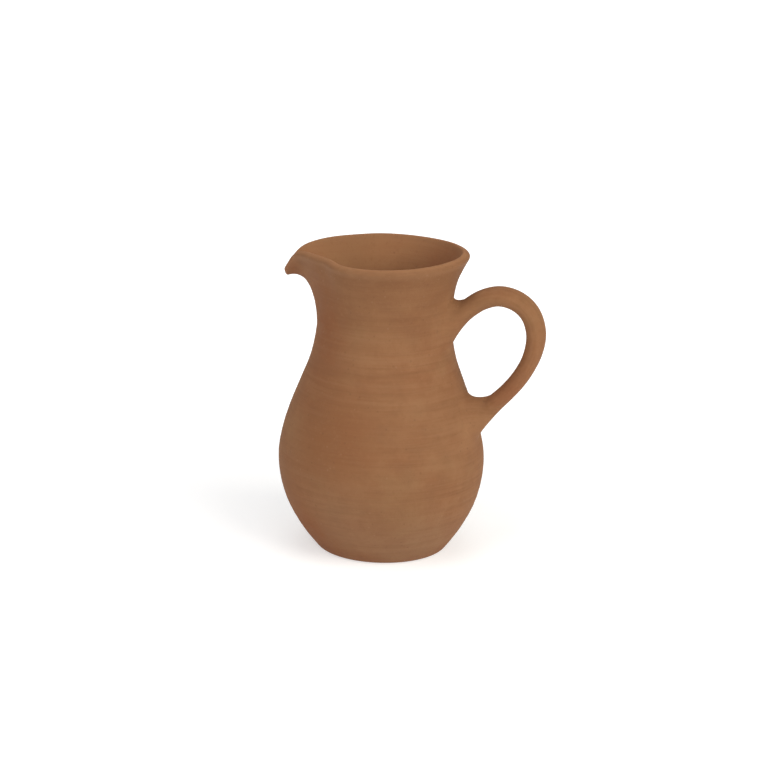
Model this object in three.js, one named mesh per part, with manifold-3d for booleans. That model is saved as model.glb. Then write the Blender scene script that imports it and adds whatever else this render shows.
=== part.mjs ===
// A wheel-thrown terracotta pitcher: a round belly, a waisted neck, a flared rim with a finger-pulled spout,
// and an ear-shaped handle pulled from a strap of clay and luted on with soft clay at both ends.
//
// Millimetres, +Z up. The origin is the centre of the foot, on the table. The handle points along +X and the
// spout along -X.

import * as THREE from "three";
import { mergeVertices } from "three/addons/utils/BufferGeometryUtils.js";
import Module from "manifold-3d";

const wasm = await Module();
wasm.setup();

const { clamp, lerp, smoothstep } = THREE.MathUtils;

// ---------------------------------------------------------------- driving dimensions

// The outside of the thrown wall as radius and height, from the foot to the lip.
const WALL_OUTLINE = [
  [42.2, 0],
  [48.4, 8],
  [55.3, 18],
  [62.4, 32],
  [66.8, 48],
  [67.8, 64],
  [64.9, 80],
  [60, 96],
  [53.9, 112],
  [47.9, 128],
  [44.9, 143],
  [43.9, 157],
  [44.4, 170],
  [46.4, 181],
  [49.6, 189.5],
  [52.8, 196],
];
const LIP_THICKNESS = 5.8;
const LIP_CROWN = 2.5; // the lip's rounded top stands this much above the outline's end
const LIP_SQUARENESS = 3; // 2 is round, more is flat with crisp edges
const RIM_WARP = 0.84; // the rim is not quite level: it rises towards spout and handle, and sinks between
const RIM_WARP_ANGLE = -0.16;
const NECK_THICKNESS = 5.4;
const BELLY_THICKNESS = 6.6;
const THINNING_START = 60; // the wall is BELLY_THICKNESS up to this height
const THINNING_END = 140; // and NECK_THICKNESS from this one
const FLOOR_THICKNESS = 8;
const FLOOR_FILLET = 16; // how far the round between floor and wall reaches across the floor
const FILLET_CORNER = 5.6; // where the wall's line would meet the floor
const INNER_WALL_END = 0.13; // share of the outline's length where that round begins
const AXIS_BOW = 1.86; // the middle of a hand-thrown pot sits this far off the line from foot to rim
const POT_HEIGHT = 201;

// The spout: the wall is drawn out in the middle and pressed in by a finger on each side.
const SPOUT_START = 150; // height where the wall first leaves the round
const SPOUT_PULL = 13.1;
const SPOUT_SPREAD = 0.326; // radians
const SPOUT_PULL_POWER = 1.21;
const SPOUT_DROP = 18.5; // how far the tip curls down
const SPOUT_DROP_SPREAD = 0.222;
const SPOUT_DROP_POWER = 3.3;
const PINCH_DEPTH = 3.4;
const PINCH_ANGLE = 0.833; // radians either side of the spout
const PINCH_SPREAD = 0.255;
const PINCH_LIFT = 0.22; // pressed clay rises by this share of the depth
const FLANK_THINNING = 0.25; // the pulled clay is this much thinner in the spout's two flanks
const CHANNEL_SPREAD = 0.09; // but not along the bottom of the channel, which so becomes round

// The handle: the middle line of the strap in the XZ plane, from inside the neck to inside the belly.
const HANDLE_PATH = [
  [36, 151],
  [45.5, 158.5],
  [54, 166],
  [63.5, 172.8],
  [75, 176.3],
  [87, 173.5],
  [95.5, 166],
  [99.7, 153.5],
  [98.2, 140.5],
  [92, 126.3],
  [82.8, 113.6],
  [72.8, 103.6],
  [63.5, 94.8],
  [52, 84],
];
const STRAP_THICK_TOP = 6.4; // half sizes of the oval section
const STRAP_THICK_TAIL = 5.5;
const STRAP_WIDE_TOP = 9.2;
const STRAP_WIDE_TAIL = 7.6;

// The joint coils: how far each swells, and, in shares of the strap's length, where it starts inside the pot,
// has its full swell, has none left, and ends as a thin skin.
const UPPER_COIL = { swell: 6.4, start: 0.01, full: 0.04, faded: 0.135, end: 0.16 };
const LOWER_COIL = { swell: 8, start: 0.99, full: 0.93, faded: 0.84, end: 0.81 };
const COIL_SKIN = 0.8;
const COIL_SLANT = 0.037; // the flares lie along the pot's wall, which crosses the strap at a slant

const JOINT_GAP = 0.3; // the slip layer between two pieces

const TURNS = 80; // facets round the pot
const CROWDING = 0.45; // they are narrower near the spout and wider near the handle
const WALL_ROWS = 22;
const LIP_ROWS = 8;
const INNER_ROWS = 15;
const FILLET_ROWS = 4;
const STRAP_SIDES = 24;
const STRAP_ROWS = 36;
const COIL_ROWS = 12;

// ---------------------------------------------------------------- clay walls

const LIP_HEIGHT = WALL_OUTLINE.at(-1)[1];
const outline = new THREE.SplineCurve(
  WALL_OUTLINE.map(([radius, height]) => new THREE.Vector2(radius, height)),
);

// 1 in the middle of a finger's mark, falling to nothing beyond its spread.
function fingerMark(angle, spread) {
  return Math.exp(-((angle / spread) ** 2));
}

// The same for clay that is drawn along with its surroundings, so that the mark fades out slowly.
function softMark(angle, spread) {
  return (1 + (angle / spread) ** 2) ** -2;
}

// Moves a point of the evenly turned pot to where the potter's hands leave it.
function shapeByHand(point) {
  const { x, y, z } = point;
  const angle = Math.atan2(y, x);
  const fromSpout = Math.abs(Math.atan2(y, -x));
  const rise = clamp((z - SPOUT_START) / (LIP_HEIGHT - SPOUT_START), 0, 1);
  const loosened = rise ** SPOUT_PULL_POWER;
  const pull = SPOUT_PULL * loosened * fingerMark(fromSpout, SPOUT_SPREAD);
  const drop = SPOUT_DROP * rise ** SPOUT_DROP_POWER * softMark(fromSpout, SPOUT_DROP_SPREAD);
  const pressed = PINCH_DEPTH * loosened * fingerMark(fromSpout - PINCH_ANGLE, PINCH_SPREAD);
  const pinch = pressed / Math.hypot(x, y);
  const risen = PINCH_LIFT * pressed + RIM_WARP * loosened * Math.cos(2 * (angle - RIM_WARP_ANGLE));
  const share = z / POT_HEIGHT;
  const bow = 4 * AXIS_BOW * share * (1 - share);
  return new THREE.Vector3(x * (1 - pinch) - pull - bow, y * (1 - pinch), z - drop + risen);
}

function outerPoint(angle, along) {
  const { x: radius, y: height } = outline.getPoint(along);
  return shapeByHand(new THREE.Vector3(radius * Math.cos(angle), radius * Math.sin(angle), height));
}

// A point of the outer wall with the directions up the wall and out of it. The way round is taken over a wide
// step, so that the inside of the spout keeps an open channel where the outside is tightly bent.
function wallFrame(angle, along) {
  const point = outerPoint(angle, along);
  const step = 1e-3;
  const up = outerPoint(angle, Math.min(along + step, 1)).sub(outerPoint(angle, Math.max(along - step, 0)));
  const turn = 0.2;
  const round = outerPoint(angle + turn, along).sub(outerPoint(angle - turn, along));
  up.normalize();
  return { point, up, out: round.cross(up).normalize() };
}

function wallThickness(angle, height) {
  const thinned = smoothstep(height, THINNING_START, THINNING_END);
  const nearLip = smoothstep(height, SPOUT_START, LIP_HEIGHT);
  const fromSpout = angle - Math.PI;
  const flanks = fingerMark(fromSpout, SPOUT_SPREAD) - fingerMark(fromSpout, CHANNEL_SPREAD);
  const even = lerp(lerp(BELLY_THICKNESS, NECK_THICKNESS, thinned), LIP_THICKNESS, nearLip);
  return even * (1 - FLANK_THINNING * nearLip * flanks);
}

// A turned solid: each station gives its point at any angle round the axis.
function turned(stations) {
  const profile = stations.map((station) => {
    const point = station(0);
    return new THREE.Vector2(Math.max(point.x, 0), point.z);
  });
  const geometry = new THREE.LatheGeometry(profile, TURNS);
  const position = geometry.getAttribute("position");
  for (let turn = 0; turn <= TURNS; turn += 1) {
    const share = ((turn % TURNS) / TURNS) * 2 * Math.PI;
    const angle = share + CROWDING * Math.sin(share);
    stations.forEach((station, row) => {
      const point = station(angle);
      position.setXYZ(turn * stations.length + row, point.x, point.y, point.z);
    });
  }
  return geometry;
}

function onAxis(height) {
  return () => new THREE.Vector3(0, 0, height);
}

// A point of the wall: at a share of its thickness under the outer surface, grown out from it, or raised along it.
function onWall(along, { share = 0, grown = 0, raised = 0 } = {}) {
  const { y: height } = outline.getPoint(along);
  return (angle) => {
    const { point, up, out } = wallFrame(angle, along);
    return point.addScaledVector(out, grown - share * wallThickness(angle, height)).addScaledVector(up, raised);
  };
}

function rows(count, from, to, make) {
  return Array.from({ length: count + 1 }, (_, row) => make(lerp(from, to, row / count)));
}

function thrownBody() {
  const outer = rows(WALL_ROWS, 0, 1, (along) => onWall(along));
  const lip = rows(LIP_ROWS, 0, Math.PI, (angle) => {
    const across = Math.sign(Math.cos(angle)) * Math.abs(Math.cos(angle)) ** (2 / LIP_SQUARENESS);
    const raised = LIP_CROWN * Math.sin(angle) ** (2 / LIP_SQUARENESS);
    return onWall(1, { share: (1 - across) / 2, raised });
  });
  const inner = rows(INNER_ROWS, 1, INNER_WALL_END, (along) => onWall(along, { share: 1 }));
  const wallEnd = inner.at(-1);
  const fillet = rows(FILLET_ROWS, 0, 1, (share) => (angle) => {
    const from = wallEnd(angle);
    const radius = Math.hypot(from.x, from.y);
    const inwards = new THREE.Vector3(from.x / radius, from.y / radius, 0);
    const corner = inwards.clone().multiplyScalar(radius - FILLET_CORNER).setZ(FLOOR_THICKNESS);
    const to = inwards.clone().multiplyScalar(radius - FLOOR_FILLET).setZ(FLOOR_THICKNESS);
    return new THREE.QuadraticBezierCurve3(from, corner, to).getPoint(share);
  });
  return turned([
    onAxis(0),
    ...outer,
    ...lip.slice(1, -1),
    ...inner,
    ...fillet.slice(1),
    onAxis(FLOOR_THICKNESS),
  ]);
}

// The space that the pot and its contents fill, grown by the gap, for cutting what is stuck on the outside.
function filledBody() {
  const outer = rows(WALL_ROWS * 2, 0, 1, (along) => onWall(along, { grown: JOINT_GAP }));
  return turned([onAxis(0), ...outer, onAxis(POT_HEIGHT)]);
}

// ---------------------------------------------------------------- strap and coils

const strapPath = new THREE.CatmullRomCurve3(HANDLE_PATH.map(([x, z]) => new THREE.Vector3(x, 0, z)));

function strapSection(along) {
  return {
    thick: lerp(STRAP_THICK_TOP, STRAP_THICK_TAIL, smoothstep(along, 0.35, 0.75)),
    wide: lerp(STRAP_WIDE_TOP, STRAP_WIDE_TAIL, smoothstep(along, 0.2, 0.8)),
  };
}

// A closed oval bar laid along the strap's middle line between two shares of its length. The section's half
// sizes may differ between the outer side, -1, and the finger side, 1.
function barAlongStrap(from, to, lengthRows, section) {
  const geometry = new THREE.CylinderGeometry(1, 1, 1, STRAP_SIDES, lengthRows);
  const position = geometry.getAttribute("position");
  const across = new THREE.Vector3(0, 1, 0);
  for (let i = 0; i < position.count; i += 1) {
    const along = lerp(from, to, 0.5 - position.getY(i));
    const { thick, wide } = section(along, position.getX(i));
    const forward = strapPath.getTangentAt(along);
    const side = new THREE.Vector3().crossVectors(across, forward).normalize();
    const point = strapPath.getPointAt(along);
    point.addScaledVector(side, thick * position.getX(i));
    point.addScaledVector(across, wide * position.getZ(i));
    position.setXYZ(i, point.x, point.y, point.z);
  }
  return geometry;
}

function strap(grown) {
  return barAlongStrap(0, 1, STRAP_ROWS, (along) => {
    const { thick, wide } = strapSection(along);
    return { thick: thick + grown, wide: wide + grown };
  });
}

// Soft clay round the strap, swelling from a thin skin at one end to a flare where it meets the pot.
function coil({ swell, start, full, faded, end }) {
  return barAlongStrap(Math.min(start, end), Math.max(start, end), COIL_ROWS, (along, side) => {
    const { thick, wide } = strapSection(along);
    const nearPot = clamp((along + COIL_SLANT * side - faded) / (full - faded), 0, 1);
    const added = COIL_SKIN + swell * nearPot ** 3;
    return { thick: thick + added, wide: wide + added };
  });
}

// ---------------------------------------------------------------- joining and cutting

function solid(geometry) {
  const bare = geometry.clone();
  bare.deleteAttribute("normal");
  bare.deleteAttribute("uv");
  const merged = mergeVertices(bare, 1e-3);
  const { array } = merged.getAttribute("position");
  return new wasm.Manifold(
    new wasm.Mesh({ numProp: 3, vertProperties: array, triVerts: new Uint32Array(merged.index.array) }),
  );
}

function geometryOf(manifold) {
  const { vertProperties, triVerts } = manifold.getMesh();
  const geometry = new THREE.BufferGeometry();
  geometry.setAttribute("position", new THREE.BufferAttribute(vertProperties, 3));
  geometry.setIndex(new THREE.BufferAttribute(triVerts, 1));
  geometry.computeVertexNormals();
  return geometry;
}

// ---------------------------------------------------------------- materials and assembly

function firedClay(colour) {
  return new THREE.MeshStandardMaterial({ color: colour, roughness: 0.92, metalness: 0 });
}

function piece(name, geometry, colour) {
  const mesh = new THREE.Mesh(geometry, firedClay(colour));
  mesh.name = name;
  return mesh;
}

function pitcher() {
  const body = thrownBody();
  const pot = solid(filledBody());
  const handle = solid(strap(0)).subtract(pot);
  const strapRoom = solid(strap(JOINT_GAP));
  const upperCoil = solid(coil(UPPER_COIL)).subtract(pot).subtract(strapRoom);
  const lowerCoil = solid(coil(LOWER_COIL)).subtract(pot).subtract(strapRoom);

  const group = new THREE.Group();
  group.add(piece("thrown_body", body, 0x966b4c));
  group.add(piece("pulled_handle", geometryOf(handle), 0x9a704f));
  group.add(piece("upper_joint_coil", geometryOf(upperCoil), 0x92684a));
  group.add(piece("lower_joint_coil", geometryOf(lowerCoil), 0x92684a));
  return group;
}

export default pitcher();
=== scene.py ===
"""The looks of a hand-thrown terracotta pitcher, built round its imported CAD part.

The pot, the pulled handle and the clay worked round its two roots are four fine meshes, made here from the
same curves as the CAD part. Lengths are in millimetres until a mesh is made, which is in metres, +Z up, with
the origin at the centre of the foot, the handle towards +X and the spout towards -X.
"""
import math

import bpy
import numpy as np
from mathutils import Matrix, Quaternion, Vector


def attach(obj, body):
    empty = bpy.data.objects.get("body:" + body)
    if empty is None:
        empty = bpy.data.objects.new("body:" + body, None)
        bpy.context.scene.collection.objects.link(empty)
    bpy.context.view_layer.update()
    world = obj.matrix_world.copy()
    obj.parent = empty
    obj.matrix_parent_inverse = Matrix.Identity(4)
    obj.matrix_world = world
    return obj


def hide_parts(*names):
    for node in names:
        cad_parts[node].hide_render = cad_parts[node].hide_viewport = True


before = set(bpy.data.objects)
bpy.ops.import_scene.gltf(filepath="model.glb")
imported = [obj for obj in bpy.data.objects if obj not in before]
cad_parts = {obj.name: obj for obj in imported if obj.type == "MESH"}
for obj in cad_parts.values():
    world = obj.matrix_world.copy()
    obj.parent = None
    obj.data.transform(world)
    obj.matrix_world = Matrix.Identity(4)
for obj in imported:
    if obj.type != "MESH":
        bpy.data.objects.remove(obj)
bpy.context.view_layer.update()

MM = 0.001
TURN = 2 * math.pi

# ---------------------------------------------------------------- dimensions of the pitcher

# The outside of the thrown wall as radius and height, from the foot to the lip.
WALL_OUTLINE = [
    (42.2, 0), (48.4, 8), (55.3, 18), (62.4, 32), (66.8, 48), (67.8, 64), (64.9, 80), (60, 96),
    (53.9, 112), (47.9, 128), (44.9, 143), (43.9, 157), (44.4, 170), (46.4, 181), (49.6, 189.5), (52.8, 196),
]
LIP_HEIGHT = WALL_OUTLINE[-1][1]
LIP_THICKNESS = 5.8
LIP_CROWN = 2.5  # the lip's rounded top stands this much above the outline's end
LIP_SQUARENESS = 3  # 2 is round, more is flat with crisp edges
RIM_WARP, RIM_WARP_ANGLE = 0.84, -0.16  # the rim rises a little towards spout and handle
NECK_THICKNESS = 5.4
BELLY_THICKNESS = 6.6
THINNING_START = 60
THINNING_END = 140
FLOOR_THICKNESS = 8
FLOOR_FILLET = 16
FILLET_CORNER = 5.6
INNER_WALL_END = 14.4  # height on the outline below which the inside rounds into the floor
FOOT_ROUND = 2.4
FOOT_RING_START = 35  # inside this radius the underside is very slightly hollow
FOOT_HOLLOW = 0.6
AXIS_BOW = 1.86
POT_HEIGHT = 201

# The spout: the wall drawn out in the middle and pressed in by a finger on each side.
SPOUT_START = 150
SPOUT_PULL, SPOUT_SPREAD, SPOUT_PULL_POWER = 13.1, 0.326, 1.21
SPOUT_DROP, SPOUT_DROP_SPREAD, SPOUT_DROP_POWER = 18.5, 0.222, 3.3
PINCH_DEPTH, PINCH_ANGLE, PINCH_SPREAD = 3.4, 0.833, 0.255
PINCH_LIFT = 0.22  # pressed clay rises by this share of the depth
# One flank of the spout, on the +Y side, has come out a little higher than the other.
FLANK_LIFT, FLANK_LIFT_ANGLE, FLANK_LIFT_SPREAD = 1.0, 0.15, 0.12
FLANK_THINNING = 0.25  # the clay is this much thinner in the spout's two flanks
CHANNEL_SPREAD = 0.09  # but not along the bottom of its channel

# Marks left in the soft clay: pitch and depth of the fingers' ridges outside and inside, and of the spiral on
# the floor, and the ripples of the wire that cut the foot free.
BROAD_PITCH, BROAD_DEPTH = 7.3, 0.075
FINE_PITCH, FINE_DEPTH = 2.35, 0.026
INNER_PITCH, INNER_DEPTH = 8.6, 0.17
INNER_FINE_PITCH, INNER_FINE_DEPTH = 2.6, 0.03
FLOOR_PITCH, FLOOR_DEPTH = 9.5, 0.3
WIRE_PITCH, WIRE_DEPTH, WIRE_ANGLE, WIRE_CURVE = 9, 0.12, 0.6, 0.0016
UNEVENNESS = 0.2  # slow swells of the whole wall
LIP_SAG = 0.25
SCORED_AT = (22, 38.5, 47, 63, 91, 118, 141, 163, 184)  # single scored lines, as lengths up the outline
SCORED_WIDTH = (0.5, 0.9)
SCORED_DEPTH = (0.03, 0.075)

# The handle: the middle line of the strap in the XZ plane, and the half sizes of its oval section.
HANDLE_PATH = [
    (36, 151), (45.5, 158.5), (54, 166), (63.5, 172.8), (75, 176.3), (87, 173.5), (95.5, 166),
    (99.7, 153.5), (98.2, 140.5), (92, 126.3), (82.8, 113.6), (72.8, 103.6), (63.5, 94.8), (52, 84),
]
STRAP_THICK_TOP, STRAP_THICK_TAIL = 6.4, 5.5
STRAP_WIDE_TOP, STRAP_WIDE_TAIL = 9.2, 7.6
STRAP_OVAL = 2.2  # 2 is an ellipse, more is squarer
STRAP_SWELL, STRAP_RIDGES, STRAP_DRAG = 0.16, 0.07, 0.035  # heights of its slow, lengthwise and fine marks
DRAWN_RADIUS = 8  # the strap as it was pulled out straight

# Relief stops short of the roots: its reach round the upper and the lower one, and the fade beyond that.
POT_MARKS_CLEAR = (15, 15, 12)
STRAP_MARKS_CLEAR = (25, 44, 16)
ROOT_SEARCH, ROOT_SAMPLES = 0.35, 1200  # share of the strap's length in which each root lies
SURFACE_GAP = 0.3  # the strap's ends stand this much outside the wall, hidden in the worked clay

# How far the clay worked round each root reaches along the strap and along the wall, on the strap's outer
# side, its flanks and its finger side, and how it meets them: 2 is a round hollow, and one near 1 a flat web.
UPPER_CLAY = {
    "strap": (10.7, 9.8, 20.9), "strap_fill": (1.15, 1.83, 2.14),
    "wall": (7.9, 6.0, 10.5), "wall_fill": (1.5, 1.82, 1.73),
}
LOWER_CLAY = {
    "strap": (37.2, 15.0, 18.5), "strap_fill": (1.8, 1.7, 1.5),
    "wall": (7.3, 8.0, 17.6), "wall_fill": (1.73, 1.8, 1.71),
}

POT_COLUMNS = 200
CROWDING = 0.45  # the columns are narrower near the spout and wider near the handle
WALL_ROWS = 330
LIP_ROWS = 18
INNER_ROWS = 90
FILLET_ROWS = 10
FLOOR_ROWS = 14
UNDER_ROWS = 14
FOOT_ROWS = 6
STRAP_SIDES = 72
STRAP_ROWS = 280
COLLAR_COLUMNS = 120
COLLAR_ROWS = 30
COLLAR_TAIL_ROWS = 4
COLLAR_SETTLING = 16  # rounds of moving the collar's points to their distances from strap and wall
COLLAR_ROOT = 0.8  # how deep the collar's inner edge lies in the corner
COLLAR_TAIL = 0.16  # share of its reach over which each edge sinks under its neighbour
STRAP_SINK, WALL_SINK = 0.4, 1.6  # how steeply it sinks there
COLLAR_KNEADING = 0.3  # unevenness of the worked clay


# ---------------------------------------------------------------- curves and random surfaces


def smoothstep(value, low, high):
    t = np.clip((value - low) / (high - low), 0, 1)
    return t * t * (3 - 2 * t)


def lerp(a, b, share):
    return a + (b - a) * share


def smooth_line(points, chord_power, step, ease):
    """Evenly spaced samples of the curve through the points, with its bends eased over a short length."""
    p = np.array(points, float)
    p = np.vstack([2 * p[0] - p[1], p, 2 * p[-1] - p[-2]])
    spans = np.linalg.norm(np.diff(p, axis=0), axis=1) ** chord_power
    t = np.linspace(0, 1, 64, endpoint=False)[:, None]
    fine = []
    for i in range(1, len(p) - 2):
        x0, x1, x2, x3 = p[i - 1 : i + 3]
        d0, d1, d2 = spans[i - 1 : i + 2]
        leave = ((x1 - x0) / d0 - (x2 - x0) / (d0 + d1) + (x2 - x1) / d1) * d1
        arrive = ((x2 - x1) / d1 - (x3 - x1) / (d1 + d2) + (x3 - x2) / d2) * d1
        rise = x2 - x1
        square = 3 * rise - 2 * leave - arrive
        cube = leave + arrive - 2 * rise
        fine.append(x1 + leave * t + square * t**2 + cube * t**3)
    fine = np.vstack([*fine, p[-2:-1]])
    run = np.append(0, np.cumsum(np.linalg.norm(np.diff(fine, axis=0), axis=1)))
    count = round(run[-1] / step)
    even = np.stack([np.interp(np.linspace(0, run[-1], count + 1), run, axis) for axis in fine.T], axis=1)
    reach = max(1, round(3 * ease / step))
    weights = np.exp(-0.5 * (np.arange(-reach, reach + 1) * step / ease) ** 2)
    weights /= weights.sum()
    before = 2 * even[0] - even[reach:0:-1]
    after = 2 * even[-1] - even[-2 : -reach - 2 : -1]
    padded = np.vstack([before, even, after])
    return np.stack([np.convolve(axis, weights, "valid") for axis in padded.T], axis=1)


class Wander:
    """A smooth random value of about -1 to 1 over a surface, periodic in the angle round it."""

    def __init__(self, seed, waves, most_turns, wavelengths):
        draw = np.random.default_rng(seed)
        self.turns = draw.integers(0, most_turns + 1, waves)
        self.pace = TURN / draw.uniform(*wavelengths, waves)
        self.pace *= draw.choice([-1, 1], waves)
        self.phase = draw.uniform(0, TURN, waves)

    def __call__(self, angle, length):
        total = 0
        for turns, pace, phase in zip(self.turns, self.pace, self.phase):
            total = total + np.cos(turns * angle + pace * length + phase)
        return total / math.sqrt(2 * len(self.turns))


# ---------------------------------------------------------------- the thrown pot

OUTLINE = smooth_line(WALL_OUTLINE, 0, 0.25, 1.6)
OUTLINE_RUN = np.append(0, np.cumsum(np.linalg.norm(np.diff(OUTLINE, axis=0), axis=1)))
WALL_LENGTH = OUTLINE_RUN[-1]


def finger_mark(angle, spread):
    return np.exp(-((angle / spread) ** 2))


def soft_mark(angle, spread):
    """The same for clay drawn along with its surroundings, so that the mark fades out slowly."""
    return (1 + (angle / spread) ** 2) ** -2


def bow(height):
    share = height / POT_HEIGHT
    return 4 * AXIS_BOW * share * (1 - share)


def outer_point(angle, run):
    """A point of the outer wall at an angle round the pot and a length up its outline."""
    radius = np.interp(run, OUTLINE_RUN, OUTLINE[:, 0])
    height = np.interp(run, OUTLINE_RUN, OUTLINE[:, 1])
    x, y = radius * np.cos(angle), radius * np.sin(angle)
    around_spout = np.arctan2(y, -x)
    from_spout = np.abs(around_spout)
    rise = np.clip((height - SPOUT_START) / (LIP_HEIGHT - SPOUT_START), 0, 1)
    loosened = rise**SPOUT_PULL_POWER
    pull = SPOUT_PULL * loosened * finger_mark(from_spout, SPOUT_SPREAD)
    drop = SPOUT_DROP * rise**SPOUT_DROP_POWER * soft_mark(from_spout, SPOUT_DROP_SPREAD)
    pressed = PINCH_DEPTH * loosened * finger_mark(from_spout - PINCH_ANGLE, PINCH_SPREAD)
    pinch = pressed / radius
    warp = RIM_WARP * loosened * np.cos(2 * (angle - RIM_WARP_ANGLE))
    lifted = FLANK_LIFT * loosened * finger_mark(around_spout - FLANK_LIFT_ANGLE, FLANK_LIFT_SPREAD)
    risen = warp + PINCH_LIFT * pressed + lifted - drop
    return np.stack([x * (1 - pinch) - pull - bow(height), y * (1 - pinch), height + risen], axis=-1)


def unit(vectors):
    return vectors / np.linalg.norm(vectors, axis=-1, keepdims=True)


def wall_frame(angle, run):
    """Points of the outer wall, with the directions up it and out of it.

    The way round is taken over a wide step, so that the inside of the spout keeps an open channel where the
    outside is tightly bent.
    """
    step, turn = 0.4, 0.2
    above = outer_point(angle, np.minimum(run + step, WALL_LENGTH))
    below = outer_point(angle, np.maximum(run - step, 0))
    up = unit(above - below)
    around = outer_point(angle + turn, run) - outer_point(angle - turn, run)
    return outer_point(angle, run), up, unit(np.cross(around, up))


def wall_thickness(angle, height):
    thinned = lerp(BELLY_THICKNESS, NECK_THICKNESS, smoothstep(height, THINNING_START, THINNING_END))
    near_lip = smoothstep(height, SPOUT_START, LIP_HEIGHT)
    from_spout = angle - math.pi
    flanks = finger_mark(from_spout, SPOUT_SPREAD) - finger_mark(from_spout, CHANNEL_SPREAD)
    return lerp(thinned, LIP_THICKNESS, near_lip) * (1 - FLANK_THINNING * near_lip * flanks)


def pot_distance(point):
    """How far outside the plain wall a point is. Good near the wall, on the handle's side."""
    height = point[..., 2]
    radius = np.interp(height, OUTLINE[:, 1], OUTLINE[:, 0])
    slope = (np.interp(height + 0.5, OUTLINE[:, 1], OUTLINE[:, 0])
             - np.interp(height - 0.5, OUTLINE[:, 1], OUTLINE[:, 0]))
    across = np.hypot(point[..., 0] + bow(height), point[..., 1])
    return (across - radius) / np.sqrt(1 + slope**2)


def away_from_joints(point, upper, lower, fade):
    """0 within a reach of each root of the handle, 1 beyond the fade."""
    clear = 1.0
    for joint, reach in ((UPPER_ROOT, upper), (LOWER_ROOT, lower)):
        clear = clear * smoothstep(np.linalg.norm(point - joint, axis=-1), reach, reach + fade)
    return clear


def throwing_marks(angle, run, pitch, wander, wobble):
    """Ridges and grooves of the potter's fingers, which climb one pitch in each turn."""
    climb = run / pitch + wobble * wander(angle, run) - angle / TURN
    wave = np.cos(TURN * climb)
    return 0.8 * wave + 0.2 * np.cos(2 * TURN * climb + 0.7)


def outer_relief(angle, run):
    """Height of the outer surface over the plain wall, and the marks alone, from -1 to 1, for the colour."""
    uneven = UNEVENNESS * Wander(11, 14, 5, (34, 120))(angle, run)
    broad = throwing_marks(angle, run, BROAD_PITCH, Wander(12, 8, 2, (30, 90)), 0.55)
    broad *= 0.5 + 0.5 * np.clip(Wander(13, 10, 3, (22, 80))(angle, run), -1, 1)
    fine = throwing_marks(angle, run, FINE_PITCH, Wander(14, 8, 2, (14, 60)), 0.6)
    fine *= 0.5 + 0.5 * np.clip(Wander(15, 12, 4, (9, 40))(angle, run), -1, 1)
    height = np.interp(run, OUTLINE_RUN, OUTLINE[:, 1])
    strength = 0.65 + 0.35 * smoothstep(-height, -62, -30) + 0.3 * smoothstep(height, 125, 150)
    scored = 0
    draw = np.random.default_rng(16)
    for at in SCORED_AT:
        width = draw.uniform(*SCORED_WIDTH)
        depth = draw.uniform(*SCORED_DEPTH)
        start = draw.uniform(0, TURN)
        shown = 0.55 + 0.45 * np.cos(angle - start)
        tilt = 0.5 * np.sin(angle + start)
        scored = scored - depth * shown * np.exp(-(((run - at - tilt) / width) ** 2))
    drawn_out = smoothstep(height, 160, 185) * finger_mark(angle - math.pi, 2 * SPOUT_SPREAD)
    ends = smoothstep(run, 4, 14) * smoothstep(WALL_LENGTH - run, 6, 18) * (1 - 0.8 * drawn_out)
    marks = strength * (BROAD_DEPTH * broad + FINE_DEPTH * fine) + scored
    return uneven * ends + marks * ends, marks * ends / 0.1


def inner_relief(angle, run):
    """The inside, which only fingers reach, keeps broader and deeper marks."""
    marks = INNER_DEPTH * throwing_marks(angle, run, INNER_PITCH, Wander(21, 8, 2, (40, 90)), 0.4)
    marks = marks * (0.65 + 0.35 * Wander(22, 8, 3, (25, 70))(angle, run))
    fine = INNER_FINE_DEPTH * throwing_marks(angle, run, INNER_FINE_PITCH, Wander(23, 8, 2, (14, 60)), 0.6)
    ends = smoothstep(WALL_LENGTH - run, 3, 26)
    return (marks + fine) * ends, (marks + fine) * ends / 0.2


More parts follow.
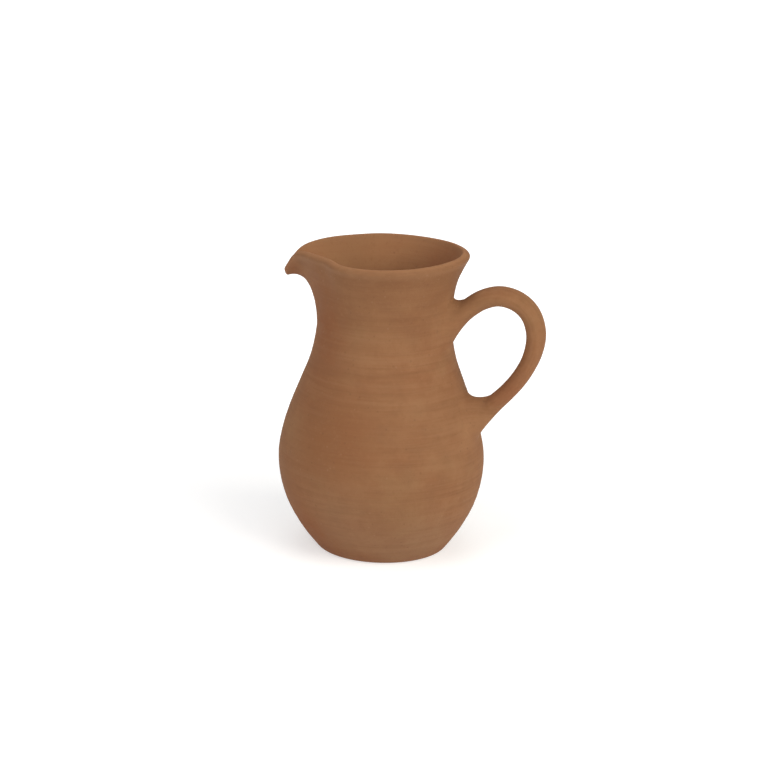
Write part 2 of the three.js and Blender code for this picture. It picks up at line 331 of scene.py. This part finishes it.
def pot_stations():
    """Rows of points from the middle of the underside, up the wall, over the lip and down to the floor."""
    angle = np.arange(POT_COLUMNS) / POT_COLUMNS * TURN
    angle = angle + CROWDING * np.sin(angle)
    rows, worn, groove, inside = [], [], [], []

    def add(points, wear=0.0, mark=0.0, within=0.0):
        rows.append(points)
        for values, value in ((worn, wear), (groove, mark), (inside, within)):
            values.append(np.broadcast_to(value, points.shape[:2]))

    foot_radius = OUTLINE[0, 0]
    ring_edge = foot_radius - FOOT_ROUND
    radius = np.linspace(0, ring_edge, UNDER_ROWS + 1)[1:, None]
    along_wire = radius * np.cos(angle - WIRE_ANGLE)
    across_wire = radius * np.sin(angle - WIRE_ANGLE)
    ripple = WIRE_DEPTH * np.cos(TURN * (along_wire / WIRE_PITCH + WIRE_CURVE * across_wire**2))
    hollow = (FOOT_HOLLOW + ripple) * smoothstep(-radius, -FOOT_RING_START, -FOOT_RING_START + 12)
    under = np.stack([radius * np.cos(angle), radius * np.sin(angle), hollow], axis=-1)
    add(under, 0.5 * smoothstep(radius, 34, 40) + 0 * angle)

    share = np.linspace(0, 1, FOOT_ROWS + 2)[1:-1, None, None]
    low, corner = under[-1], outer_point(angle, np.zeros_like(angle))
    high = outer_point(angle, np.full_like(angle, FOOT_ROUND))
    edge = (1 - share) ** 2 * low + 2 * share * (1 - share) * corner + share**2 * high
    add(edge, 0.8)

    run = np.linspace(FOOT_ROUND, WALL_LENGTH, WALL_ROWS + 1)[:, None]
    angles, runs = angle + 0 * run, run + 0 * angle
    point, up, out = wall_frame(angles, runs)
    relief, marks = outer_relief(angles, runs)
    clear = away_from_joints(point, *POT_MARKS_CLEAR)
    wear = 0.8 * smoothstep(-runs, -9, -2) + smoothstep(runs, WALL_LENGTH - 3.5, WALL_LENGTH)
    add(point + out * (relief * clear)[..., None], wear, marks * clear)

    around = np.linspace(0, math.pi, LIP_ROWS + 1)[1:-1, None]
    lip_angles, lip_runs = angle + 0 * around, WALL_LENGTH + 0 * around + 0 * angle
    point, up, out = wall_frame(lip_angles, lip_runs)
    sag = LIP_SAG * Wander(31, 8, 6, (50, 90))(lip_angles, lip_runs) * np.sin(around)
    across = np.sign(np.cos(around)) * np.abs(np.cos(around)) ** (2 / LIP_SQUARENESS)
    depth = wall_thickness(lip_angles, LIP_HEIGHT) * (1 - across) / 2
    raised = LIP_CROWN * np.sin(around) ** (2 / LIP_SQUARENESS) + sag
    add(point - out * depth[..., None] + up * raised[..., None], 1.0, within=(1 - across) / 2 + 0 * angle)

    wall_end = np.interp(INNER_WALL_END, OUTLINE[:, 1], OUTLINE_RUN)
    run = np.linspace(WALL_LENGTH, wall_end, INNER_ROWS + 1)[:, None]
    angles, runs = angle + 0 * run, run + 0 * angle
    point, up, out = wall_frame(angles, runs)
    relief, marks = inner_relief(angles, runs)
    depth = wall_thickness(angles, np.interp(runs, OUTLINE_RUN, OUTLINE[:, 1])) - relief
    inner = point - out * depth[..., None]
    add(inner, smoothstep(runs, WALL_LENGTH - 3, WALL_LENGTH), marks, 1.0)

    start = inner[-1]
    radius = np.hypot(start[:, 0], start[:, 1])[:, None]
    inwards = start[:, :2] / radius
    flat = np.full((POT_COLUMNS, 1), float(FLOOR_THICKNESS))
    corner = np.hstack([inwards * (radius - FILLET_CORNER), flat])
    floor_edge = np.hstack([inwards * (radius - FLOOR_FILLET), flat])
    share = np.linspace(0, 1, FILLET_ROWS + 1)[1:, None, None]
    add((1 - share) ** 2 * start + 2 * share * (1 - share) * corner + share**2 * floor_edge, within=1.0)

    share = np.linspace(1, 0, FLOOR_ROWS + 1)[1:-1, None, None]
    floor = floor_edge * share * np.array([1, 1, 0]) + np.array([0, 0, FLOOR_THICKNESS])
    spiral = FLOOR_DEPTH * np.cos(TURN * np.hypot(floor[..., 0], floor[..., 1]) / FLOOR_PITCH - angle)
    floor[..., 2] += spiral * np.sin(math.pi * share[..., 0]) ** 0.5
    add(floor, within=1.0)
    return np.vstack(rows), np.vstack(worn), np.vstack(groove), np.vstack(inside)


# ---------------------------------------------------------------- the pulled strap

STRAP_LINE = smooth_line([(x, 0, z) for x, z in HANDLE_PATH], 0.5, 0.25, 1.5)
STRAP_RUN = np.append(0, np.cumsum(np.linalg.norm(np.diff(STRAP_LINE, axis=0), axis=1)))
STRAP_LENGTH = STRAP_RUN[-1]
STRAP_FORWARD = unit(np.gradient(STRAP_LINE, axis=0))
ACROSS = np.array([0.0, 1.0, 0.0])
STRAP_SIDE = unit(np.cross(ACROSS, STRAP_FORWARD))  # towards the fingers


def along_strap(values, run):
    return np.stack([np.interp(run, STRAP_RUN, axis) for axis in values.T], axis=-1)


def strap_sizes(run):
    share = run / STRAP_LENGTH
    thick = lerp(STRAP_THICK_TOP, STRAP_THICK_TAIL, smoothstep(share, 0.35, 0.75))
    wide = lerp(STRAP_WIDE_TOP, STRAP_WIDE_TAIL, smoothstep(share, 0.2, 0.8))
    return thick, wide


def oval(angle):
    """A point of the unit section: first towards the fingers, then across."""
    c, s = np.cos(angle), np.sin(angle)
    size = (np.abs(c) ** STRAP_OVAL + np.abs(s) ** STRAP_OVAL) ** (-1 / STRAP_OVAL)
    return c * size, s * size


def strap_point(angle, run, relief=0.0):
    thick, wide = strap_sizes(run)
    c, s = oval(angle)
    side = (thick + relief) * c
    across = (wide + relief) * s
    middle = along_strap(STRAP_LINE, run)
    return middle + side[..., None] * along_strap(STRAP_SIDE, run) + across[..., None] * ACROSS


def strap_distance(point):
    """How far outside the plain strap a point is."""
    shape = point.shape[:-1]
    flat = point.reshape(-1, 3)
    line = STRAP_LINE[::4]
    nearest = np.argmin(((flat[:, None, :] - line[None]) ** 2).sum(-1), axis=1) * 4
    forward = STRAP_FORWARD[nearest]
    ahead = ((flat - STRAP_LINE[nearest]) * forward).sum(-1)
    run = STRAP_RUN[nearest] + ahead
    offset = flat - along_strap(STRAP_LINE, run)
    outside = (run < 0) | (run > STRAP_LENGTH)
    offset = np.where(outside[:, None], flat - STRAP_LINE[nearest] - ahead[:, None] * forward, offset)
    thick, wide = strap_sizes(run)
    u = (offset * along_strap(STRAP_SIDE, run)).sum(-1) / thick
    v = offset[:, 1] / wide
    size = (np.abs(u) ** STRAP_OVAL + np.abs(v) ** STRAP_OVAL) ** (1 / STRAP_OVAL)
    away = np.linalg.norm(offset, axis=-1)
    return (away * (1 - 1 / np.maximum(size, 1e-6))).reshape(shape)


def runs_from_end(from_top):
    """Lengths along the strap, from its top or its tail inwards, as far as its root can lie."""
    runs = np.linspace(0, ROOT_SEARCH * STRAP_LENGTH, ROOT_SAMPLES)
    return runs if from_top else STRAP_LENGTH - runs


def wall_crossing(angle, from_top, gap):
    """Length along the strap at which each of its surface lines meets the pot."""
    runs = runs_from_end(from_top)
    height = pot_distance(strap_point(angle[:, None] + 0 * runs, runs + 0 * angle[:, None])) - gap
    first_out = np.argmax(height > 0, axis=1)
    rows = np.arange(len(angle))
    inside, outside = height[rows, first_out - 1], height[rows, first_out]
    share = inside / (inside - outside)
    return lerp(runs[first_out - 1], runs[first_out], share)


def middle_crossing(from_top):
    """The point where the strap's middle line comes out of the wall."""
    line = along_strap(STRAP_LINE, runs_from_end(from_top))
    return line[np.argmax(pot_distance(line) > 0)]


UPPER_ROOT = middle_crossing(True)
LOWER_ROOT = middle_crossing(False)


def strap_relief(angle, run):
    """The pull of wet fingers: slow swells, faint lengthwise ridges and a few soft dents."""
    swell = STRAP_SWELL * Wander(41, 10, 2, (22, 90))(angle, run)
    ridges = STRAP_RIDGES * Wander(42, 10, 9, (120, 400))(angle, run)
    drag = STRAP_DRAG * Wander(43, 16, 16, (40, 200))(angle, run)
    return swell + ridges + drag


def strap_stations():
    """Rows of points along the strap, and where each lies in the clay as it was pulled out straight."""
    angle = np.arange(STRAP_SIDES) / STRAP_SIDES * TURN
    start, end = wall_crossing(angle, True, SURFACE_GAP), wall_crossing(angle, False, SURFACE_GAP)
    share = np.linspace(0, 1, STRAP_ROWS + 1)[:, None]
    runs = lerp(start, end, share)
    angles = angle + 0 * share
    plain = strap_point(angles, runs)
    clear = away_from_joints(plain, *STRAP_MARKS_CLEAR)
    relief = strap_relief(angles, runs)
    drawn = np.stack([runs, DRAWN_RADIUS * np.cos(angles), DRAWN_RADIUS * np.sin(angles)], axis=-1)
    return strap_point(angles, runs, relief * clear), drawn


# ---------------------------------------------------------------- clay worked round the roots


def round_strap(angle, sides):
    """A value that changes smoothly from the outer side, over the flanks, to the finger side."""
    outer, flank, finger = sides
    c = np.cos(angle)
    return flank + (finger - outer) / 2 * c + ((finger + outer) / 2 - flank) * c * c


def slope_of(distance, point):
    """The direction in which a distance grows fastest at each point."""
    step = 0.2
    change = [distance(point + step * axis) - distance(point - step * axis) for axis in np.eye(3)]
    return unit(np.stack(change, axis=-1))


def collar_stations(from_top, clay, seed):
    """A ring of clay that leaves the strap and runs out onto the wall without a step on either."""
    angle = np.arange(COLLAR_COLUMNS) / COLLAR_COLUMNS * TURN
    crossing = wall_crossing(angle, from_top, 0.0)
    crease = strap_point(angle, crossing)
    step = 0.5 if from_top else -0.5
    along = unit(strap_point(angle, crossing + step) - crease)
    out = slope_of(pot_distance, crease)
    lift = slope_of(strap_distance, crease)
    wall = unit(lift - (lift * out).sum(-1, keepdims=True) * out)
    slant = np.maximum(1 - (along * wall).sum(-1) ** 2, 0.2) ** 0.5

    # Shares of the reach along the strap and along the wall, with a few rows at each end that sink under.
    tail = np.linspace(COLLAR_TAIL, 0, COLLAR_TAIL_ROWS + 1)[:-1, None] + 0 * angle
    turn = np.linspace(0, math.pi / 2, COLLAR_ROWS + 1)[:, None]
    strap_power = 2 / round_strap(angle, clay["strap_fill"])
    wall_power = 2 / round_strap(angle, clay["wall_fill"])
    strap_share = np.vstack([-STRAP_SINK * tail**2, 1 - np.cos(turn) ** strap_power, 1 + tail[::-1]])
    wall_share = np.vstack([1 + tail, 1 - np.sin(turn) ** wall_power, -WALL_SINK * tail[::-1] ** 2])
    off_wall = strap_share * round_strap(angle, clay["strap"]) * slant
    off_strap = wall_share * round_strap(angle, clay["wall"]) * slant
    row = np.linspace(0, 1, len(off_wall))[:, None]
    kneaded = COLLAR_KNEADING * Wander(seed, 8, 5, (0.7, 2))(angle + 0 * row, row)
    kneaded = kneaded * np.sin(math.pi * row) ** 3
    off_wall, off_strap = off_wall + kneaded, off_strap + kneaded

    s, t = off_wall / slant, off_strap / slant
    for _ in range(COLLAR_SETTLING):
        point = crease + s[..., None] * along + t[..., None] * wall
        s = s + 0.7 * (off_wall - pot_distance(point)) / slant
        t = t + 0.7 * (off_strap - strap_distance(point)) / slant
    point = crease + s[..., None] * along + t[..., None] * wall
    buried = crease - COLLAR_ROOT * (out + lift)
    back = np.linspace(0, 1, 6)[1:-1, None, None]
    under_strap = lerp(point[-1], buried, back)
    under_wall = lerp(buried, point[0], back)
    return np.concatenate([point, under_strap, buried[None], under_wall])


# ---------------------------------------------------------------- meshes


def new_mesh(name, points, faces, node, attributes=()):
    mesh = bpy.data.meshes.new(name)
    mesh.from_pydata((points * MM).tolist(), [], faces)
    for title, values in attributes:
        kind, key = ("FLOAT_VECTOR", "vector") if values.ndim == 2 else ("FLOAT", "value")
        layer = mesh.attributes.new(title, kind, "POINT")
        layer.data.foreach_set(key, values.astype(np.float32).ravel())
    mesh.polygons.foreach_set("use_smooth", np.ones(len(mesh.polygons), bool))
    mesh.update()
    mesh.validate()
    piece = bpy.data.objects.new(name, mesh)
    bpy.context.scene.collection.objects.link(piece)
    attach(piece, "root")
    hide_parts(node)
    return piece


def grid_faces(rows, columns, close_rows=False):
    """Quads over rows of points that close round on themselves."""
    faces = []
    for r in range(rows if close_rows else rows - 1):
        low, high = r * columns, (r + 1) % rows * columns
        for c in range(columns):
            d = (c + 1) % columns
            faces.append((low + c, low + d, high + d, high + c))
    return faces


def capped_faces(rows, columns):
    """The same, with a fan at each end round two more points, the first end's and the last end's."""
    faces = grid_faces(rows, columns)
    first, last, top = rows * columns, rows * columns + 1, (rows - 1) * columns
    for c in range(columns):
        d = (c + 1) % columns
        faces.append((first, d, c))
        faces.append((last, top + c, top + d))
    return faces


def make_pot():
    rows, worn, groove, inside = pot_stations()
    ends = np.array([[0, 0, FOOT_HOLLOW], [0, 0, FLOOR_THICKNESS]])
    points = np.vstack([rows.reshape(-1, 3), ends])
    attributes = [
        ("worn", np.append(worn.ravel(), [0, 0])),
        ("groove", np.append(groove.ravel(), [0, 0])),
        ("inside", np.append(inside.ravel(), [0, 1])),
    ]
    faces = capped_faces(len(rows), POT_COLUMNS)
    return new_mesh("body_clay", points, faces, "thrown_body", attributes)


def make_strap():
    rows, drawn = strap_stations()
    ends = np.array([UPPER_ROOT, LOWER_ROOT]) + np.array([SURFACE_GAP, 0, 0])
    points = np.vstack([rows.reshape(-1, 3), ends])
    drawn = np.vstack([drawn.reshape(-1, 3), [[0, 0, 0], [STRAP_LENGTH, 0, 0]]]) * MM
    faces = capped_faces(len(rows), STRAP_SIDES)
    return new_mesh("handle_clay", points, faces, "pulled_handle", [("drawn", drawn)])


def make_collar(name, node, from_top, clay, seed):
    rows = collar_stations(from_top, clay, seed)
    faces = grid_faces(len(rows), COLLAR_COLUMNS, close_rows=True)
    if from_top:
        faces = [face[::-1] for face in faces]
    return new_mesh(name, rows.reshape(-1, 3), faces, node)


# ---------------------------------------------------------------- fired clay


class Graph:
    """Adds nodes to a material and links them."""

    def __init__(self, tree):
        self.tree = tree

    def add(self, kind, out=0, settings=None, **inputs):
        node = self.tree.nodes.new(kind)
        for key, value in (settings or {}).items():
            setattr(node, key, value)
        for key, value in inputs.items():
            socket = node.inputs[int(key[1:])] if key[0] == "i" and key[1:].isdigit() else node.inputs[key]
            if isinstance(value, bpy.types.NodeSocket):
                self.tree.links.new(value, socket)
            else:
                socket.default_value = value
        return node.outputs[out]

    def noise(self, where, scale, detail=3.0, roughness=0.55):
        return self.add("ShaderNodeTexNoise", Vector=where, Scale=scale, Detail=detail, Roughness=roughness)

    def stretch(self, value, low, high, to_low=0.0, to_high=1.0):
        ends = {"i1": low, "i2": high, "i3": to_low, "i4": to_high}
        return self.add("ShaderNodeMapRange", settings={"interpolation_type": "SMOOTHSTEP"}, i0=value, **ends)

    def attribute(self, name, out=2):
        return self.add("ShaderNodeAttribute", out=out, settings={"attribute_name": name})

    def maths(self, operation, a, b=0.0):
        return self.add("ShaderNodeMath", settings={"operation": operation}, i0=a, i1=b)

    def blend(self, share, a, b, mode="MIX"):
        settings = {"data_type": "RGBA", "blend_type": mode}
        return self.add("ShaderNodeMix", out=2, settings=settings, i0=share, i6=a, i7=b)

    def layers(self, colour, rows):
        """Lays each row's colour over the last one, by up to its share as its value goes from low to high."""
        for value, low, high, share, over in rows:
            colour = self.blend(self.stretch(value, low, high, 0.0, share), colour, over)
        return colour

    def distance(self, a, b):
        return self.add("ShaderNodeVectorMath", out=1, settings={"operation": "DISTANCE"}, i0=a, i1=b)

    def scaled(self, where, scale, shift=(0, 0, 0)):
        return self.add("ShaderNodeMapping", Vector=where, Scale=scale, Location=shift)


CLAY = (0.268, 0.1240, 0.0540, 1)
RED_CLAY = (0.254, 0.1062, 0.0445, 1)
PALE_CLAY = (0.314, 0.158, 0.0765, 1)
DARK_CLAY = (0.204, 0.0885, 0.0377, 1)
BUFF_CLAY = (0.268, 0.1360, 0.0600, 1)
# Painted light: a lighter copy of the clay laid on the inside of the pot, stronger towards the rim.
INSIDE_PAINTED_LIGHT = (0.385, 0.178, 0.0800, 1)
# Painted light: a much lighter copy of the clay laid deep inside the pot, where shade falls.
DEEP_PAINTED_LIGHT = (0.460, 0.240, 0.1150, 1)
# Darker clay on the neck: its own redder tone from 136 to 170 mm, and painted shade under the flared lip from
# 182 to 194 mm.
NECK_CLAY_AND_LIP_SHADE = (0.204, 0.0900, 0.0380, 1)
FOOT_CLAY = (0.225, 0.0780, 0.0300, 1)
GROG_DARK = (0.16, 0.075, 0.036, 1)
GROG_PALE = (0.40, 0.235, 0.135, 1)
GROG_SCALE = 310.0  # grains in a metre
PORE_SCALE = 520.0
BUMP_STRENGTH, BUMP_HEIGHT = 0.45, 0.0002

# Where the fire and the stacking in the kiln have left the clay redder or paler: the middle of the patch in
# metres, its radius, its strength and its colour.
FLASHES = (
    ((-0.019, -0.061, 0.088), 0.052, 0.75, (0.232, 0.0905, 0.0352, 1)),
    ((-0.040, -0.030, 0.160), 0.036, 0.70, (0.228, 0.0750, 0.0275, 1)),
    ((-0.034, -0.036, 0.138), 0.034, 0.70, (0.232, 0.0860, 0.0345, 1)),
    ((-0.034, -0.036, 0.016), 0.040, 0.95, (0.222, 0.0720, 0.0225, 1)),
    ((-0.050, -0.036, 0.050), 0.030, 0.60, (0.232, 0.0900, 0.0350, 1)),
    ((0.034, -0.042, 0.012), 0.046, 0.75, (0.280, 0.1560, 0.0820, 1)),
    ((-0.006, -0.060, 0.030), 0.040, 0.40, (0.295, 0.1540, 0.0830, 1)),
    ((0.022, -0.058, 0.050), 0.036, 0.55, (0.270, 0.1440, 0.0660, 1)),
    ((0.048, -0.012, 0.160), 0.026, 0.55, (0.310, 0.1500, 0.0680, 1)),
    ((0.066, -0.014, 0.086), 0.020, 0.60, (0.335, 0.1640, 0.0760, 1)),
    ((0.084, -0.002, 0.116), 0.026, 0.65, (0.240, 0.0860, 0.0370, 1)),
    ((-0.040, 0.030, 0.190), 0.040, 0.50, (0.315, 0.1640, 0.0760, 1)),
    ((0.040, 0.030, 0.176), 0.040, 0.70, (0.270, 0.0880, 0.0380, 1)),
    ((-0.068, 0.000, 0.184), 0.020, 0.70, (0.240, 0.0820, 0.0340, 1)),
)


def fired_clay(name, shift, tint, pulled=False):
    """Unglazed clay, with its streaks round the pot, or along the strap if it was pulled."""
    material = bpy.data.materials.new(name)
    material.use_nodes = True
    tree = material.node_tree
    tree.nodes.clear()
    g = Graph(tree)
    here = g.add("ShaderNodeTexCoord", out=3)
    place = g.scaled(here, (1, 1, 1), shift)
    worn = g.attribute("worn")
    groove = g.attribute("groove")
    inside = g.attribute("inside")

    patches = g.noise(place, 17, 2.0)
    drifts = g.noise(g.scaled(place, (1, 1, 1.6)), 34, 3.0, 0.6)
    clouds = g.noise(place, 62, 4.0, 0.6)
    flecks = g.noise(place, 420, 3.0, 0.6)
    drawn = g.attribute("drawn", out=1) if pulled else place
    bands = g.noise(g.scaled(drawn, (9, 200, 200) if pulled else (9, 9, 260)), 1.0, 3.0, 0.6)
    wiped = g.noise(g.scaled(drawn, (34, 700, 700) if pulled else (34, 34, 900)), 1.0, 2.0, 0.5)

    colour = g.blend(g.stretch(patches, 0.38, 0.68), CLAY, RED_CLAY)
    colour = g.layers(colour, (
        (drifts, 0.50, 0.68, 0.45, RED_CLAY),
        (drifts, 0.50, 0.34, 0.45, BUFF_CLAY),
        (clouds, 0.42, 0.75, 0.55, PALE_CLAY),
        (clouds, 0.55, 0.25, 0.35, DARK_CLAY),
        (bands, 0.50, 0.74, 0.35, PALE_CLAY),
        (bands, 0.48, 0.28, 0.35, DARK_CLAY),
        (wiped, 0.35, 0.70, 0.22, PALE_CLAY),
    ))

    height = g.add("ShaderNodeSeparateXYZ", out=2, i0=here)
    # Painted light on the inside wall, growing towards the rim.
    lit = g.maths("MULTIPLY", inside, g.stretch(height, 0.168, 0.198, 0.2, 0.58))
    colour = g.blend(lit, colour, INSIDE_PAINTED_LIGHT)
    # Painted light on the lower inside wall and the floor, lifting the shade deep in the pot.
    deep_painted_light = g.maths("MULTIPLY", inside, g.stretch(height, 0.152, 0.120, 0.0, 0.8))
    colour = g.blend(deep_painted_light, colour, DEEP_PAINTED_LIGHT)
    from_root = g.distance(here, tuple(UPPER_ROOT * MM))
    from_mouth = g.distance(here, (0, 0, 0.18))
    # The neck's own darker tone, then a band of painted shade under the flared lip; neither reaches the upper
    # root, the spout's mouth or the inside.
    neck_tone_and_lip_shade = g.stretch(height, 0.136, 0.170, 0.0, 0.46)
    neck_tone_and_lip_shade = g.maths("ADD", neck_tone_and_lip_shade, g.stretch(height, 0.182, 0.194, 0.0, 0.24))
    for value, low, high in ((from_root, 0.012, 0.028), (from_mouth, 0.066, 0.058), (inside, 0.6, 0.0)):
        neck_tone_and_lip_shade = g.maths("MULTIPLY", neck_tone_and_lip_shade, g.stretch(value, low, high))
    colour = g.blend(g.maths("MULTIPLY", neck_tone_and_lip_shade, g.stretch(drifts, 0.35, 0.6, 0.75, 1.1)), colour, NECK_CLAY_AND_LIP_SHADE)
    at_foot = g.maths("MULTIPLY", g.stretch(height, 0.013, 0.001), g.stretch(drifts, 0.35, 0.6, 0.3, 0.8))
    colour = g.blend(at_foot, colour, FOOT_CLAY)
    uneven = g.stretch(clouds, 0.3, 0.7, 0.55, 1.0)
    for middle, radius, strength, flashed in FLASHES:
        near = g.stretch(g.distance(here, middle), radius, 0.1 * radius, 0.0, strength)
        colour = g.blend(g.maths("MULTIPLY", near, uneven), colour, flashed)

    colour = g.layers(colour, ((groove, 0.2, -1.2, 0.3, DARK_CLAY), (groove, 0.2, 1.2, 0.22, PALE_CLAY)))
    rubbed = g.maths("MULTIPLY", worn, g.stretch(clouds, 0.3, 0.6, 0.05, 0.28))
    colour = g.blend(rubbed, colour, PALE_CLAY)
    colour = g.layers(colour, ((flecks, 0.52, 0.8, 0.28, PALE_CLAY), (flecks, 0.48, 0.22, 0.28, DARK_CLAY)))

    grog = g.add("ShaderNodeTexVoronoi", Vector=place, Scale=GROG_SCALE)
    grog_pick = g.add("ShaderNodeTexVoronoi", out=1, Vector=place, Scale=GROG_SCALE)
    pick = g.add("ShaderNodeSeparateColor", out=0, i0=grog_pick)
    pick_other = g.add("ShaderNodeSeparateColor", out=1, i0=grog_pick)
    speck = g.stretch(grog, 0.26, 0.16)
    dark_speck = g.maths("MULTIPLY", speck, g.maths("GREATER_THAN", pick, 0.9))
    pale_speck = g.maths("MULTIPLY", speck, g.maths("GREATER_THAN", pick_other, 0.93))
    colour = g.blend(g.maths("MULTIPLY", dark_speck, 0.3), colour, GROG_DARK)
    colour = g.blend(g.maths("MULTIPLY", pale_speck, 0.14), colour, GROG_PALE)
    colour = g.blend(1.0, colour, tint, "MULTIPLY")

    grain = g.noise(place, 1500, 2.0, 0.6)
    pores = g.stretch(g.add("ShaderNodeTexVoronoi", Vector=place, Scale=PORE_SCALE), 0.22, 0.05)
    pores = g.maths("MULTIPLY", pores, g.stretch(flecks, 0.5, 0.62))
    relief = g.maths("MULTIPLY", grain, 0.55)
    for value, share in ((flecks, 0.9), (wiped, 0.8), (bands, 1.2), (pores, -0.8), (speck, 0.15)):
        relief = g.maths("ADD", relief, g.maths("MULTIPLY", value, share))
    normal = g.add("ShaderNodeBump", Height=relief, Strength=BUMP_STRENGTH, Distance=BUMP_HEIGHT)

    rough = g.stretch(clouds, 0.3, 0.7, 0.80, 0.93)
    rough = g.maths("SUBTRACT", rough, g.maths("MULTIPLY", worn, 0.08))
    rough = g.maths("ADD", rough, g.maths("MULTIPLY", g.maths("SUBTRACT", flecks, 0.5), 0.12))
    shader = tree.nodes.new("ShaderNodeBsdfPrincipled")
    tree.links.new(colour, shader.inputs["Base Color"])
    tree.links.new(rough, shader.inputs["Roughness"])
    tree.links.new(normal, shader.inputs["Normal"])
    shader.inputs["Specular IOR Level"].default_value = 0.22
    shader.inputs["Diffuse Roughness"].default_value = 0.35
    output = tree.nodes.new("ShaderNodeOutputMaterial")
    tree.links.new(shader.outputs[0], output.inputs[0])
    return material


# ---------------------------------------------------------------- floor, light and camera

FLOOR_HALF = 5.0
FLOOR_GREY = 0.66

# Each soft lamp's azimuth (0 is over the handle) and height in degrees, its power in watts and its colour.
WHITE = (1, 1, 1)
WARM = (1, 0.962, 0.865)
LAMPS = {
    "key": (-25, 35, 62, WARM),
    "front": (-60, 32, 24, WHITE),
    "fill": (-120, 40, 32, WHITE),
    "overhead": (-76, 86, 20, WHITE),
    "left": (-172, 25, 9, WHITE),
    "back": (105, 42, 16, WHITE),
}
LAMP_DISTANCE = 3.0
LAMP_SIZE = 2.4

CAMERA_AZIMUTH = math.radians(14.2)
CAMERA_HEIGHT = math.radians(16.87)
CAMERA_ROLL = math.radians(1.346)
CAMERA_DISTANCE = 2.0
CAMERA_TARGET = Vector((0, 0, 0.1))
CAMERA_SENSOR, CAMERA_LENS = 36, 142.6
CAMERA_SHIFT_X, CAMERA_SHIFT_Y = -0.0010, 0.0189


def make_floor():
    mesh = bpy.data.meshes.new("floor")
    corners = [(FLOOR_HALF * x, FLOOR_HALF * y, 0) for x, y in ((-1, -1), (1, -1), (1, 1), (-1, 1))]
    mesh.from_pydata(corners, [], [(0, 1, 2, 3)])
    floor = bpy.data.objects.new("floor", mesh)
    bpy.context.scene.collection.objects.link(floor)
    paper = bpy.data.materials.new("paper")
    paper.use_nodes = True
    shader = paper.node_tree.nodes["Principled BSDF"]
    shader.inputs["Base Color"].default_value = (FLOOR_GREY, FLOOR_GREY, FLOOR_GREY, 1)
    shader.inputs["Roughness"].default_value = 0.9
    shader.inputs["Specular IOR Level"].default_value = 0.1
    shader.inputs["Emission Color"].default_value = (1, 1, 1, 1)
    g = Graph(paper.node_tree)
    away = g.distance(g.add("ShaderNodeTexCoord", out=3), (0, 0, 0))
    glow = g.maths("ADD", g.stretch(away, 0.0, 0.6, 0.50, 0.76), g.stretch(away, 0.6, 1.7, 0.0, 0.2))
    paper.node_tree.links.new(glow, shader.inputs["Emission Strength"])
    mesh.materials.append(paper)


def make_lamp(name, azimuth, height, power, colour):
    """A large soft lamp, aimed at the pitcher."""
    data = bpy.data.lights.new(name, "AREA")
    data.shape = "DISK"
    data.size = LAMP_SIZE
    data.energy = power
    data.color = colour
    turn, rise = math.radians(azimuth), math.radians(height)
    away = Vector((math.cos(rise) * math.cos(turn), math.cos(rise) * math.sin(turn), math.sin(rise)))
    lamp = bpy.data.objects.new(name, data)
    lamp.location = CAMERA_TARGET + LAMP_DISTANCE * away
    lamp.rotation_mode = "QUATERNION"
    lamp.rotation_quaternion = (-away).to_track_quat("-Z", "Y")
    bpy.context.scene.collection.objects.link(lamp)


def make_light():
    world = bpy.data.worlds.new("studio")
    world.use_nodes = True
    world.node_tree.nodes["Background"].inputs["Strength"].default_value = 0
    bpy.context.scene.world = world
    for name, lamp in LAMPS.items():
        make_lamp(name, *lamp)
    bpy.context.scene.view_settings.view_transform = "Standard"


def make_camera():
    data = bpy.data.cameras.new("camera")
    data.sensor_width = CAMERA_SENSOR
    data.lens = CAMERA_LENS
    data.shift_x, data.shift_y = CAMERA_SHIFT_X, CAMERA_SHIFT_Y
    data.clip_start, data.clip_end = 0.05, 50
    camera = bpy.data.objects.new("camera", data)
    level = math.cos(CAMERA_HEIGHT)
    back = Vector((
        math.sin(CAMERA_AZIMUTH) * level,
        -math.cos(CAMERA_AZIMUTH) * level,
        math.sin(CAMERA_HEIGHT),
    ))
    camera.location = CAMERA_TARGET + back * CAMERA_DISTANCE
    camera.rotation_mode = "QUATERNION"
    camera.rotation_quaternion = (-back).to_track_quat("-Z", "Y") @ Quaternion((0, 0, 1), CAMERA_ROLL)
    bpy.context.scene.collection.objects.link(camera)
    bpy.context.scene.camera = camera


# ---------------------------------------------------------------- the whole

wall_clay = fired_clay("wall_clay", (0, 0, 0), (0.915, 0.915, 0.915, 1))
strap_clay = fired_clay("strap_clay", (0.31, 0.17, 0.4), (0.93, 0.93, 0.925, 1), pulled=True)
make_pot().data.materials.append(wall_clay)
make_strap().data.materials.append(strap_clay)
for collar in (
    make_collar("upper_joint_clay", "upper_joint_coil", True, UPPER_CLAY, 51),
    make_collar("lower_joint_clay", "lower_joint_coil", False, LOWER_CLAY, 52),
):
    collar.data.materials.append(wall_clay)
make_floor()
make_light()
make_camera()
